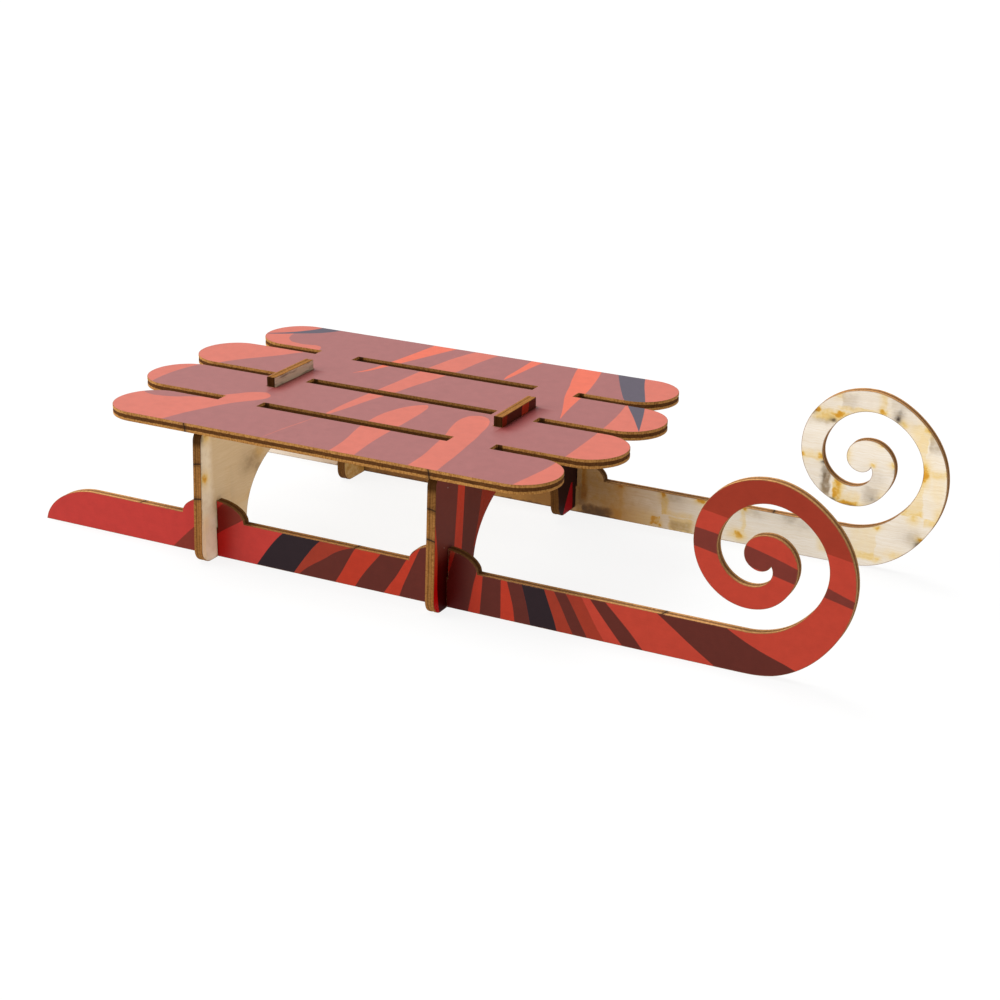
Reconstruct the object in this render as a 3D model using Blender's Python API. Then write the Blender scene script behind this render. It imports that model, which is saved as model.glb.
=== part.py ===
"""Wooden toboggan, slotted together from five sheets of thin plywood without glue or fasteners.

The frame has +X forwards, towards the curled ends of the runners, +Y to the left and +Z up.
The origin is on the ground, under the middle of the toboggan's bounding box.  Metres.

Each leg has a slot from below and each runner a slot from above, so that they halve into one
another and both stand on the ground.  A tenon on top of each leg goes through a mortise in the
deck and stands a little proud of it.
"""

import math

import bpy

MM = 0.001

# sheet material and fit
PLY = 3.0 * MM
FIT = 0.2 * MM                 # clearance kept all round an interlocking sheet

# deck: four slats left standing in one sheet, held together by two cross bands
SLAT_COUNT = 4
SLAT_WIDTH = 25.0 * MM
SLAT_GAP = 4.5 * MM
OUTER_SLAT_LENGTH = 159.4 * MM
INNER_SLAT_LENGTH = 176.0 * MM
CROSS_BAND = 15.0 * MM
DECK_TOP = 47.7 * MM
DECK_UNDERSIDE = DECK_TOP - PLY

# runners
RUNNER_SPACING = 92.4 * MM     # between the middles of the two sheets
BAR_HEIGHT = 13.0 * MM
REAR_LEG_STATION = 69.1 * MM   # from the tip of the tail to the middle of the leg
FRONT_LEG_STATION = 154.1 * MM
BOSS_HALF_LENGTH = 12.0 * MM
BOSS_RISE = 6.4 * MM
HALVING_HEIGHT = 9.75 * MM     # where the slot of the leg meets the slot of the runner
TAIL_LENGTH = 21.0 * MM
TAIL_HANDLES = ((1.5 * MM, 7.5 * MM), (11.5 * MM, BAR_HEIGHT))

# curl at the front of a runner, as (turn in degrees, distance from the middle of the curl)
CURL_STATION = 256.5 * MM
CURL_HEIGHT = 36.0 * MM
CURL_LEAD = (-110.0, -100.0)   # turns at which the straight bar runs into the curl
CURL_OUTSIDE = (
    (-80, 35.0), (-45, 30.6), (0, 26.5), (45, 23.5), (90, 23.5), (135, 23.1), (180, 21.3),
    (225, 18.5), (270, 15.2), (315, 11.6), (360, 9.7), (405, 8.2), (450, 7.2), (495, 6.9),
    (540, 6.1), (585, 4.7), (630, 3.6), (680, 2.6),
)
CURL_INSIDE = (
    (-80, 21.8), (-45, 19.7), (0, 18.9), (45, 17.3), (90, 16.6), (135, 15.2), (180, 14.1),
    (225, 11.3), (270, 7.8), (300, 5.0), (320, 2.6),
)
CURL_STEP = 6.0                # degrees between the points of the curl

# cross legs
LEG_HALF_WIDTH_FOOT = 56.4 * MM
LEG_HALF_WIDTH_TOP = 54.7 * MM
SHOULDER_RADIUS = 3.5 * MM
TOE_RADIUS = 4.6 * MM
FRONT_INNER_TOE_LIFT = 2.0 * MM  # the front leg's inner toes stop short of the ground
ARCH_HALF_WIDTH = 30.8 * MM
ARCH_SPRING = 7.0 * MM         # height at which the arch leaves the upright
ARCH_RISE = 23.4 * MM
TENON_LENGTH = 24.0 * MM
TENON_TOP = DECK_TOP + 3.2 * MM

BARE_WOOD = (0.62, 0.47, 0.31)
PRINTED_RED = (0.47, 0.07, 0.05)
PRINTED_MAUVE = (0.38, 0.15, 0.13)


def ellipse_arc(middle, half_width, half_height, start, stop, count):
    """Points on an elliptical arc between two angles in degrees, both ends included."""
    points = []
    for i in range(count + 1):
        angle = math.radians(start + (stop - start) * i / count)
        x = middle[0] + half_width * math.cos(angle)
        y = middle[1] + half_height * math.sin(angle)
        points.append((x, y))
    return points


def bezier(start, handle_a, handle_b, stop, count):
    """Points on a cubic Bezier curve, both ends included."""
    points = []
    for i in range(count + 1):
        t = i / count
        weights = ((1 - t) ** 3, 3 * t * (1 - t) ** 2, 3 * t * t * (1 - t), t ** 3)
        corners = (start, handle_a, handle_b, stop)
        x = sum(w * c[0] for w, c in zip(weights, corners))
        y = sum(w * c[1] for w, c in zip(weights, corners))
        points.append((x, y))
    return points


def smooth_value(knots, place):
    """Value at a place on the smooth curve through (place, value) knots."""
    last = len(knots) - 2
    i = 0
    while i < last and place >= knots[i + 1][0]:
        i += 1

    def slope(k):
        low = max(k - 1, 0)
        high = min(k + 1, len(knots) - 1)
        return (knots[high][1] - knots[low][1]) / (knots[high][0] - knots[low][0])

    span = knots[i + 1][0] - knots[i][0]
    t = (place - knots[i][0]) / span
    value = (2 * t ** 3 - 3 * t ** 2 + 1) * knots[i][1]
    value += (t ** 3 - 2 * t ** 2 + t) * span * slope(i)
    value += (3 * t ** 2 - 2 * t ** 3) * knots[i + 1][1]
    value += (t ** 3 - t ** 2) * span * slope(i + 1)
    return value


def curl_edge(knots, bar_edge_height):
    """One edge of the curl, from the straight bar to the tip at the middle."""
    drop = CURL_HEIGHT - bar_edge_height
    radii = [(turn, drop / math.cos(math.radians(turn + 90))) for turn in CURL_LEAD]
    radii += [(turn, radius * MM) for turn, radius in knots]
    first = CURL_LEAD[-1]
    last = knots[-1][0]
    count = round((last - first) / CURL_STEP)
    points = []
    for i in range(count + 1):
        turn = first + (last - first) * i / count
        radius = smooth_value(radii, turn)
        x = CURL_STATION + radius * math.cos(math.radians(turn))
        z = CURL_HEIGHT + radius * math.sin(math.radians(turn))
        points.append((x, z))
    return points


def boss(station):
    """Raised boss over one leg, traced backwards, with the slot that takes the leg."""
    half_slot = PLY / 2 + FIT
    slot_angle = math.degrees(math.acos(half_slot / BOSS_HALF_LENGTH))
    middle = (station, BAR_HEIGHT)
    size = (BOSS_HALF_LENGTH, BOSS_RISE)
    slot_floor = HALVING_HEIGHT - FIT
    points = ellipse_arc(middle, *size, 0, slot_angle, 9)
    points += [(station + half_slot, slot_floor), (station - half_slot, slot_floor)]
    points += ellipse_arc(middle, *size, 180 - slot_angle, 180, 9)
    return points


def runner_outline():
    """Outline of a runner in (station, height), with the tip of the tail at (0, 0)."""
    outside = curl_edge(CURL_OUTSIDE, 0.0)
    inside = curl_edge(CURL_INSIDE, BAR_HEIGHT)
    tail = bezier((0.0, 0.0), *TAIL_HANDLES, (TAIL_LENGTH, BAR_HEIGHT), 12)
    points = outside
    points += list(reversed(inside))[1:]
    points += boss(FRONT_LEG_STATION)
    points += boss(REAR_LEG_STATION)
    points += list(reversed(tail))
    return points


def leg_half_outline(inner_toe_lift):
    """Left half of a leg in (across, height), from the top of the arch round to the tenon."""
    runner_side = RUNNER_SPACING / 2 - PLY / 2 - FIT
    outer_side = RUNNER_SPACING / 2 + PLY / 2 + FIT
    slot_top = HALVING_HEIGHT + FIT
    shoulder = DECK_UNDERSIDE - FIT
    inner_toe = (ARCH_HALF_WIDTH + TOE_RADIUS, TOE_RADIUS + inner_toe_lift)
    outer_toe = (LEG_HALF_WIDTH_FOOT - TOE_RADIUS, TOE_RADIUS)
    shoulder_corner = (LEG_HALF_WIDTH_TOP - SHOULDER_RADIUS, shoulder - SHOULDER_RADIUS)
    points = ellipse_arc((0.0, ARCH_SPRING), ARCH_HALF_WIDTH, ARCH_RISE, 90, 0, 16)
    points += ellipse_arc(inner_toe, TOE_RADIUS, TOE_RADIUS, 180, 270, 6)
    points += [(runner_side, inner_toe_lift), (runner_side, slot_top)]
    points += [(outer_side, slot_top), (outer_side, 0.0)]
    points += ellipse_arc(outer_toe, TOE_RADIUS, TOE_RADIUS, 270, 360, 6)
    points += ellipse_arc(shoulder_corner, SHOULDER_RADIUS, SHOULDER_RADIUS, 0, 90, 5)
    points += [(TENON_LENGTH / 2, shoulder), (TENON_LENGTH / 2, TENON_TOP)]
    return points


def leg_outline(inner_toe_lift):
    """Whole outline of a leg, both halves."""
    half = leg_half_outline(inner_toe_lift)
    other_half = [(-across, height) for across, height in reversed(half)]
    return half + other_half[:-1]


def slat_edges(index):
    """Lower and upper edge of a slat, measured across the deck."""
    pitch = SLAT_WIDTH + SLAT_GAP
    middle = (index - (SLAT_COUNT - 1) / 2) * pitch
    return middle - SLAT_WIDTH / 2, middle + SLAT_WIDTH / 2


def deck_end(side, notch):
    """Slat ends at the front (side 1) or the rear (side -1), traced from right to left."""
    radius = SLAT_WIDTH / 2
    points = []
    for i in range(SLAT_COUNT):
        outer = i in (0, SLAT_COUNT - 1)
        length = OUTER_SLAT_LENGTH if outer else INNER_SLAT_LENGTH
        low, high = slat_edges(i)
        middle = (length / 2 - radius, (low + high) / 2)
        end = ellipse_arc(middle, radius, radius, -90, 90, 18)
        if i > 0:
            points.append((notch, low))
        points += end
        if i < SLAT_COUNT - 1:
            points.append((notch, high))
    return [(side * x, y) for x, y in points]


def deck_outlines():
    """Outer outline of the deck, then its closed slots and mortises, about its own middle."""
    half_span = (FRONT_LEG_STATION - REAR_LEG_STATION) / 2
    notch = half_span + CROSS_BAND / 2
    slot_end = half_span - CROSS_BAND / 2
    front = deck_end(1, notch)
    rear = deck_end(-1, notch)
    outlines = [front + list(reversed(rear))]
    for i in range(SLAT_COUNT - 1):
        low = slat_edges(i)[1]
        high = slat_edges(i + 1)[0]
        outlines.append(rectangle(-slot_end, slot_end, low, high))
    for side in (-1, 1):
        middle = side * half_span
        reach = PLY / 2 + FIT
        half_length = TENON_LENGTH / 2 + FIT
        outlines.append(rectangle(middle - reach, middle + reach, -half_length, half_length))
    return outlines


def rectangle(left, right, low, high):
    """Corners of a rectangle."""
    return [(left, low), (right, low), (right, high), (left, high)]


def finish_material(name, colour, roughness):
    """Plain finish for one sheet."""
    material = bpy.data.materials.new(name)
    material.use_nodes = True
    shader = material.node_tree.nodes["Principled BSDF"]
    shader.inputs["Base Color"].default_value = (*colour, 1.0)
    shader.inputs["Roughness"].default_value = roughness
    shader.inputs["Metallic"].default_value = 0.0
    material.diffuse_color = (*colour, 1.0)
    return material


def sheet(name, outlines, material, collection):
    """Flat sheet of plywood cut to closed outlines, its middle plane at its local Z = 0."""
    curve = bpy.data.curves.new(name, "CURVE")
    curve.dimensions = "2D"
    curve.fill_mode = "BOTH"
    curve.extrude = PLY / 2
    for outline in outlines:
        spline = curve.splines.new("POLY")
        spline.points.add(len(outline) - 1)
        for point, (x, y) in zip(spline.points, outline):
            point.co = (x, y, 0.0, 1.0)
        spline.use_cyclic_u = True
    curve.materials.append(material)
    piece = bpy.data.objects.new(name, curve)
    collection.objects.link(piece)
    return piece


def clear_scene():
    """Start from nothing."""
    for item in list(bpy.data.objects):
        bpy.data.objects.remove(item, do_unlink=True)


def main():
    """Cut the five sheets and stand them in their places."""
    clear_scene()
    collection = bpy.data.collections.new("wooden_toboggan")
    bpy.context.scene.collection.children.link(collection)
    frame = bpy.data.objects.new("toboggan_frame", None)
    collection.objects.link(frame)

    outline = runner_outline()
    middle = (min(x for x, z in outline) + max(x for x, z in outline)) / 2
    upright = math.radians(90)

    for name, side in (("right_runner", -1), ("left_runner", 1)):
        material = finish_material(name + "_finish", PRINTED_RED, 0.42)
        runner = sheet(name, [outline], material, collection)
        runner.location = (-middle, side * RUNNER_SPACING / 2, 0.0)
        runner.rotation_euler = (upright, 0.0, 0.0)
        runner.parent = frame

    legs = (
        ("rear_leg", REAR_LEG_STATION, 0.0, BARE_WOOD, 0.65),
        ("front_leg", FRONT_LEG_STATION, FRONT_INNER_TOE_LIFT, PRINTED_RED, 0.42),
    )
    for name, station, inner_toe_lift, colour, roughness in legs:
        material = finish_material(name + "_finish", colour, roughness)
        leg = sheet(name, [leg_outline(inner_toe_lift)], material, collection)
        leg.location = (station - middle, 0.0, 0.0)
        leg.rotation_euler = (upright, 0.0, upright)
        leg.parent = frame

    material = finish_material("deck_finish", PRINTED_MAUVE, 0.38)
    deck = sheet("deck", deck_outlines(), material, collection)
    deck_middle = (REAR_LEG_STATION + FRONT_LEG_STATION) / 2
    deck.location = (deck_middle - middle, 0.0, DECK_TOP - PLY / 2)
    deck.parent = frame


main()
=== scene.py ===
"""Looks of the slot-together wooden toboggan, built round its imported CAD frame.

Every sheet of plywood is rebuilt from the outline of its CAD node as a three-ply sheet with eased
edges and a scorched, slightly sunken core.  One face carries the printed stripes, the other is bare
veneer with the marks that the laser cutter's bed leaves.  Row frame: +X forwards, +Y left, +Z up.
"""

import math

import bmesh
import bpy
from mathutils import Matrix, Vector, kdtree, noise
from mathutils.geometry import delaunay_2d_cdt


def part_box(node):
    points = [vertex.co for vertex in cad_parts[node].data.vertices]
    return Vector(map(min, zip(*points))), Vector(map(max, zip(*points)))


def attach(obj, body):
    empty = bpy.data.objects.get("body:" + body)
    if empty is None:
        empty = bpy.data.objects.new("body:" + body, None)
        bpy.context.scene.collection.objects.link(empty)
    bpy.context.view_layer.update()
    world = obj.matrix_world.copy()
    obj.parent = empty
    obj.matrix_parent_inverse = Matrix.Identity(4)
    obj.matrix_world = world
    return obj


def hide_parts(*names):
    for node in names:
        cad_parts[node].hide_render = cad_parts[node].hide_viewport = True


MM = 0.001

# ---------------- camera, as in the product photo
CAMERA_PLACE = (278.4 * MM, -530.1 * MM, 245.6 * MM)
CAMERA_AZIMUTH = 27.084
CAMERA_ELEVATION = 20.916
CAMERA_ROLL = 0.641
CAMERA_LENS = 70.44            # millimetres, on a sensor 36 mm wide
SENSOR_WIDTH = 36.0

# ---------------- studio
WORLD_LIGHT = 0.40
FLOOR_GLOW = 0.87
FLOOR_TONES = ((0.095, 0.095, 0.094), (0.105, 0.105, 0.104))
FLOOR_RADIUS = 30.0            # metres, far enough for a low view
FLOOR_DROP = 0.02 * MM         # below the runners
# name, direction that the light comes from, width in degrees, strength
SUNS = (("key", (-0.50, 0.14, 0.85), 44, 3.7), ("left_fill", (-0.75, -0.55, 0.35), 40, 1.85))

# ---------------- sheet geometry
POINT_SPACING = 1.0 * MM       # along the outlines
STRAIGHT_LENGTH = 6.0 * MM     # longer outline edges are straight, not part of a curve
CORNER_ANGLE = math.radians(25)
MITRE_LIMIT = 1.5
FACE_GRID = 2.5 * MM           # points inside a face, which carry the distance to the rim
RIM_GAP = 0.9 * MM             # between the rim and the nearest of them
RIM_LIMIT = 8.0 * MM
SHARP_ANGLE = math.radians(50)
PRINT_SLOT, EDGE_SLOT, BARE_SLOT = 0, 1, 2
WEAR_SIZE = 2.2 * MM           # of the uneven stretches along an edge
WEAR_SHARE = 0.5
# (depth below the front face, how far the edge stands in), as shares of the thickness and in metres
PLY_PROFILE = (
    (0.000, 0.10 * MM), (0.010, 0.03 * MM), (0.035, 0.0), (0.300, 0.0), (0.335, 0.05 * MM),
    (0.370, 0.07 * MM), (0.500, 0.08 * MM), (0.630, 0.07 * MM), (0.665, 0.05 * MM), (0.700, 0.0),
    (0.965, 0.0), (0.990, 0.03 * MM), (1.000, 0.10 * MM),
)


def outline_loops(node, plane):
    """Outline and holes of a flat node as closed loops of 2D points, material on their left."""
    u, v, w = plane
    weld = 0.001 * MM
    level = 0.01 * MM
    bm = bmesh.new()
    bm.from_mesh(node.data)
    bmesh.ops.remove_doubles(bm, verts=bm.verts, dist=weld)
    top = max(vert.co[w] for vert in bm.verts)
    cap = {f for f in bm.faces if all(abs(vert.co[w] - top) < level for vert in f.verts)}
    rim = [e for e in bm.edges if sum(f in cap for f in e.link_faces) == 1]
    links = {}
    for edge in rim:
        a, b = edge.verts
        links.setdefault(a, []).append(b)
        links.setdefault(b, []).append(a)
    loops = []
    left = set(links)
    while left:
        start = min(left, key=lambda vert: vert.index)
        walk = [start]
        left.discard(start)
        here = start
        while True:
            ahead = [vert for vert in links[here] if vert in left]
            if not ahead:
                break
            here = ahead[0]
            left.discard(here)
            walk.append(here)
        loops.append([Vector((vert.co[u], vert.co[v])) for vert in walk])
    bm.free()
    loops.sort(key=lambda loop: -abs(signed_area(loop)))
    for i, loop in enumerate(loops):
        if (signed_area(loop) > 0) != (i == 0):
            loop.reverse()
    return loops


def signed_area(loop):
    """Area of a closed loop, positive when it runs anticlockwise."""
    total = 0.0
    for i, a in enumerate(loop):
        b = loop[(i + 1) % len(loop)]
        total += a.x * b.y - b.x * a.y
    return total / 2


def refine(loop):
    """The loop with its curved stretches smoothed and points at an even spacing."""
    count = len(loop)
    edges = [loop[(i + 1) % count] - loop[i] for i in range(count)]
    lengths = [edge.length for edge in edges]
    heading = [edge.normalized() for edge in edges]
    corner = [heading[i - 1].angle(heading[i]) > CORNER_ANGLE for i in range(count)]
    straight = []
    for i in range(count):
        meets_corner = corner[i] or corner[(i + 1) % count]
        straight.append(lengths[i] > STRAIGHT_LENGTH or meets_corner)
    tangents = []
    for i in range(count):
        if straight[i - 1] and not straight[i]:
            tangents.append(heading[i - 1])
        elif straight[i] and not straight[i - 1]:
            tangents.append(heading[i])
        else:
            tangents.append((heading[i - 1] + heading[i]).normalized())
    points = []
    for i in range(count):
        steps = max(1, math.ceil(lengths[i] / POINT_SPACING))
        a = loop[i]
        b = loop[(i + 1) % count]
        for k in range(steps):
            t = k / steps
            if straight[i]:
                points.append(a.lerp(b, t))
                continue
            ta = tangents[i] * lengths[i]
            tb = tangents[(i + 1) % count] * lengths[i]
            point = a * (2 * t ** 3 - 3 * t ** 2 + 1) + ta * (t ** 3 - 2 * t ** 2 + t)
            point += b * (3 * t ** 2 - 2 * t ** 3) + tb * (t ** 3 - t ** 2)
            points.append(point)
    return points


def inward_normals(loop):
    """Mitred normals that point into the material."""
    count = len(loop)
    normals = []
    for i in range(count):
        before = (loop[i] - loop[i - 1]).normalized()
        after = (loop[(i + 1) % count] - loop[i]).normalized()
        normal_a = Vector((-before.y, before.x))
        normal_b = Vector((-after.y, after.x))
        middle = normal_a + normal_b
        if middle.length < 0.05:
            normals.append(normal_a)
            continue
        middle.normalize()
        normals.append(middle * min(MITRE_LIMIT, 1 / max(0.2, middle.dot(normal_a))))
    return normals


def inside(point, loops):
    """Whether a point is on the material."""
    hits = False
    for loop in loops:
        b = loop[-1]
        for a in loop:
            if (a.y > point.y) != (b.y > point.y):
                if point.x < a.x + (point.y - a.y) * (b.x - a.x) / (b.y - a.y):
                    hits = not hits
            b = a
    return hits


def face_points(loops, tree):
    """Points inside a face on an even grid, away from its rim."""
    xs = [p.x for p in loops[0]]
    ys = [p.y for p in loops[0]]
    points = []
    rows = int((max(ys) - min(ys)) / FACE_GRID) + 1
    columns = int((max(xs) - min(xs)) / FACE_GRID) + 1
    for row in range(rows):
        for column in range(columns):
            shift = 0.5 * (row % 2)
            x = min(xs) + (column + shift) * FACE_GRID
            y = min(ys) + (row + 0.5) * FACE_GRID
            point = Vector((x, y))
            if tree.find((x, y, 0))[2] > RIM_GAP and inside(point, loops):
                points.append(point)
    return points


def rim_tree(loops):
    """Search tree over all the outline points."""
    tree = kdtree.KDTree(sum(len(loop) for loop in loops))
    index = 0
    for loop in loops:
        for point in loop:
            tree.insert((point.x, point.y, 0), index)
            index += 1
    tree.balance()
    return tree


class Sheet:
    """A three-ply sheet's mesh, built over the outline of a CAD node.

    front_side is 1 or -1, the printed face's side along the third axis of the plane.
    """

    def __init__(self, node_name, plane, front_side):
        self.u, self.v, self.w = plane
        self.front_side = front_side
        low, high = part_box(node_name)
        self.front = high[self.w] if front_side > 0 else low[self.w]
        self.thickness = high[self.w] - low[self.w]
        self.loops = [refine(loop) for loop in outline_loops(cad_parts[node_name], plane)]
        for loop in self.loops:
            for point in loop:
                point.x = min(max(point.x, low[self.u]), high[self.u])
                point.y = min(max(point.y, low[self.v]), high[self.v])
        self.bm = bmesh.new()
        self.run = self.bm.loops.layers.float.new("run")
        self.depth = self.bm.verts.layers.float.new("depth")
        self.rim = self.bm.verts.layers.float.new("rim")

    def place(self, point, share):
        """New vertex at a point of the plane and a share of the thickness below the front face."""
        co = [0.0, 0.0, 0.0]
        co[self.u] = point.x
        co[self.v] = point.y
        co[self.w] = self.front - self.front_side * share * self.thickness
        vert = self.bm.verts.new(co)
        vert[self.depth] = share
        return vert

    def flat(self, vert):
        """A vertex's point on the plane."""
        return Vector((vert.co[self.u], vert.co[self.v]))

    def add_edge(self, loop):
        """Cut edge round one loop.  Returns its rings on the front and the back face."""
        normals = inward_normals(loop)
        levels = []
        for share, inset in PLY_PROFILE:
            ring = []
            for point, normal in zip(loop, normals):
                spot = Vector((point.x, point.y, share * MM)) / WEAR_SIZE
                wear = 1.0 + WEAR_SHARE * noise.noise(spot)
                ring.append(self.place(point + normal * inset * wear, share))
            levels.append(ring)
        count = len(loop)
        lengths = [0.0]
        for i, point in enumerate(loop):
            lengths.append(lengths[-1] + (loop[(i + 1) % count] - point).length)
        for upper, lower in zip(levels, levels[1:]):
            for i in range(count):
                j = (i + 1) % count
                face = self.bm.faces.new((upper[i], upper[j], lower[j], lower[i]))
                face.material_index = EDGE_SLOT
                face.smooth = True
                for corner, place_along in zip(face.loops, (i, i + 1, i + 1, i)):
                    corner[self.run] = lengths[place_along]
        return levels[0], levels[-1]

    def add_face(self, rings, grid, tree, share, slot_index):
        """Flat face inside its rings, with the distance to the rim on each grid point."""
        verts = [vert for ring in rings for vert in ring]
        edges = []
        start = 0
        for ring in rings:
            edges += [(start + i, start + (i + 1) % len(ring)) for i in range(len(ring))]
            start += len(ring)
        for point in grid:
            vert = self.place(point, share)
            vert[self.rim] = min(RIM_LIMIT, tree.find((point.x, point.y, 0))[2])
            verts.append(vert)
        borders = [[self.flat(vert) for vert in ring] for ring in rings]
        result = delaunay_2d_cdt([self.flat(vert) for vert in verts], edges, [], 0, 0.0, True)
        places, triangles, sources = result[0], result[2], result[3]
        for triangle in triangles:
            corners = [verts[sources[k][0]] for k in triangle]
            middle = (places[triangle[0]] + places[triangle[1]] + places[triangle[2]]) / 3
            if inside(middle, borders):
                face = self.bm.faces.new(corners)
                face.material_index = slot_index

    def finish(self, name):
        """The finished mesh: smooth cut edges, flat faces."""
        bmesh.ops.recalc_face_normals(self.bm, faces=self.bm.faces)
        mesh = bpy.data.meshes.new(name)
        self.bm.to_mesh(mesh)
        self.bm.free()
        mesh.set_sharp_from_angle(angle=SHARP_ANGLE)
        for face in mesh.polygons:
            face.use_smooth = face.material_index == EDGE_SLOT
        return mesh


def plywood_sheet(name, node_name, plane, front_side):
    """Piece that stands for a CAD node, with its faces and its cut edge."""
    sheet = Sheet(node_name, plane, front_side)
    rings = [sheet.add_edge(loop) for loop in sheet.loops]
    tree = rim_tree(sheet.loops)
    grid = face_points(sheet.loops, tree)
    sheet.add_face([pair[0] for pair in rings], grid, tree, 0.0, PRINT_SLOT)
    sheet.add_face([pair[1] for pair in rings], grid, tree, 1.0, BARE_SLOT)
    piece = bpy.data.objects.new(name, sheet.finish(name))
    bpy.context.scene.collection.objects.link(piece)
    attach(piece, "root")
    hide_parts(node_name)
    return piece


# ---------------- material helpers
class Nodes:
    """Short names for building one material's node tree."""

    def __init__(self, name):
        self.material = bpy.data.materials.new(name)
        self.material.use_nodes = True
        self.tree = self.material.node_tree
        self.shader = self.tree.nodes["Principled BSDF"]

    def put(self, socket, value):
        if isinstance(value, bpy.types.NodeSocket):
            self.tree.links.new(value, socket)
        elif socket.type == "RGBA" and len(value) == 3:
            socket.default_value = (*value, 1.0)
        else:
            socket.default_value = value

    def add(self, kind, *values, **settings):
        """New node with its settings and the values of its first inputs."""
        node = self.tree.nodes.new(kind)
        for name, setting in settings.items():
            setattr(node, name, setting)
        for socket, value in zip(node.inputs, values):
            self.put(socket, value)
        return node

    def math(self, operation, a, b=0.0, c=0.0, clamp=False):
        return self.add("ShaderNodeMath", a, b, c, operation=operation, use_clamp=clamp).outputs[0]

    def product(self, first, *others):
        """All the values multiplied together."""
        for other in others:
            first = self.math("MULTIPLY", first, other)
        return first

    def place(self):
        """Row-frame place in millimetres, as three values."""
        where = self.add("ShaderNodeTexCoord").outputs["Object"]
        scale = (1 / MM, 1 / MM, 1 / MM)
        scaled = self.add("ShaderNodeVectorMath", where, scale, operation="MULTIPLY").outputs[0]
        return tuple(self.add("ShaderNodeSeparateXYZ", scaled).outputs)

    def vector(self, x, y, z):
        return self.add("ShaderNodeCombineXYZ", x, y, z).outputs[0]

    def stretched(self, u, v, u_scale, v_scale, seed):
        """Coordinates for noise that is longer one way than the other."""
        return self.vector(self.product(u, u_scale), self.product(v, v_scale), seed)

    def attribute(self, name):
        return self.add("ShaderNodeAttribute", attribute_name=name).outputs["Fac"]

    def random(self, vector):
        """Three random values for each whole-numbered vector."""
        colour = self.add("ShaderNodeTexWhiteNoise", vector).outputs["Color"]
        return tuple(self.add("ShaderNodeSeparateColor", colour).outputs)

    def noise(self, vector, scale, detail=2.0, rough=0.5):
        node = self.add("ShaderNodeTexNoise", vector)
        node.inputs["Scale"].default_value = scale
        node.inputs["Detail"].default_value = detail
        node.inputs["Roughness"].default_value = rough
        return node.outputs["Fac"]

    def wander(self, vector, scale, reach, detail=2.0, rough=0.5):
        """Noise between minus and plus reach."""
        return self.math("MULTIPLY_ADD", self.noise(vector, scale, detail, rough), 2 * reach, -reach)

    def ramp(self, value, low, high, low_out=0.0, high_out=1.0, smooth=True):
        kind = "SMOOTHSTEP" if smooth else "LINEAR"
        values = (value, low, high, low_out, high_out)
        return self.add("ShaderNodeMapRange", *values, interpolation_type=kind).outputs[0]

    def curve(self, value, points, span, result_span):
        """Smooth curve through (value, result) points, over the two spans."""
        low, high = span
        result_low, result_high = result_span
        node = self.add("ShaderNodeFloatCurve")
        curve = node.mapping.curves[0]
        while len(curve.points) < len(points):
            curve.points.new(0.5, 0.5)
        for handle, (place, result) in zip(curve.points, sorted(points)):
            share = (result - result_low) / (result_high - result_low)
            handle.location = ((place - low) / (high - low), share)
            handle.handle_type = "AUTO"
        node.mapping.update()
        self.put(node.inputs["Value"], self.ramp(value, low, high, smooth=False))
        return self.ramp(node.outputs[0], 0.0, 1.0, result_low, result_high, smooth=False)

    def mix(self, share, a, b, blend="MIX"):
        node = self.add("ShaderNodeMix", share, data_type="RGBA", blend_type=blend)
        self.put(node.inputs[6], a)
        self.put(node.inputs[7], b)
        return node.outputs[2]

    def bump(self, height, strength, distance):
        node = self.add("ShaderNodeBump")
        node.inputs["Strength"].default_value = strength
        node.inputs["Distance"].default_value = distance
        self.put(node.inputs["Height"], height)
        return node.outputs[0]

    def finish(self, colour, roughness, normal, specular):
        """The finished material."""
        self.put(self.shader.inputs["Base Color"], colour)
        self.put(self.shader.inputs["Roughness"], roughness)
        self.put(self.shader.inputs["Normal"], normal)
        self.shader.inputs["Specular IOR Level"].default_value = specular
        return self.material


# ---------------- printed stripes
# The print's own coordinates are millimetres from the tip of the runners' tails (forwards), from the
# outer face of the right runner (to the left) and from the ground (up).
LIMIT_SPAN = (-20.0, 300.0)    # holds every place that a stripe's limit takes
SOFT_EDGE = 0.12
PRINT_GRAIN = (0.06, 2.2)      # how fast the veneer's grain changes along and across it
BUMP_DEPTH = 0.05 * MM
WORN_COLOUR = (0.20, 0.085, 0.040)
FLECK_COLOUR = (0.75, 0.62, 0.55)
# How glossy each print is: specular level and roughness.
DECK_SHEEN = (0.42, 0.40)
RUNNER_SHEEN = (0.1, 0.42)
LEG_SHEEN = (0.02, 0.45)
TAIL_FADE = (60, 210)          # where the red of the runners' tails passes into their base colour

# The deck's inks are drawn lighter and milkier than the runners' inks, partly as painted light and sheen
# on the top face.
DECK_INKS_WITH_PAINTED_LIGHT = {
    "base": (0.279, 0.093, 0.088), "coral": (0.494, 0.115, 0.077), "bright": (0.60, 0.109, 0.0565),
    "slate": (0.068, 0.054, 0.077),
}
RUNNER_INKS = {
    "tail": (0.475, 0.0355, 0.0275), "base": (0.445, 0.0435, 0.0225), "brown": (0.102, 0.0175, 0.011),
    "wine": (0.170, 0.0275, 0.018), "rust": (0.295, 0.0305, 0.0128), "earth": (0.198, 0.0255, 0.014),
    "navy": (0.0205, 0.010, 0.013), "bright": (0.43, 0.032, 0.012),
}
LEG_INKS = {
    "base": (0.136, 0.028, 0.019), "shade": (0.110, 0.021, 0.013), "red": (0.465, 0.039, 0.0155),
    "rust": (0.25, 0.0235, 0.008), "black": (0.024, 0.008, 0.006), "crimson": (0.26, 0.005, 0.008),
}

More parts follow.
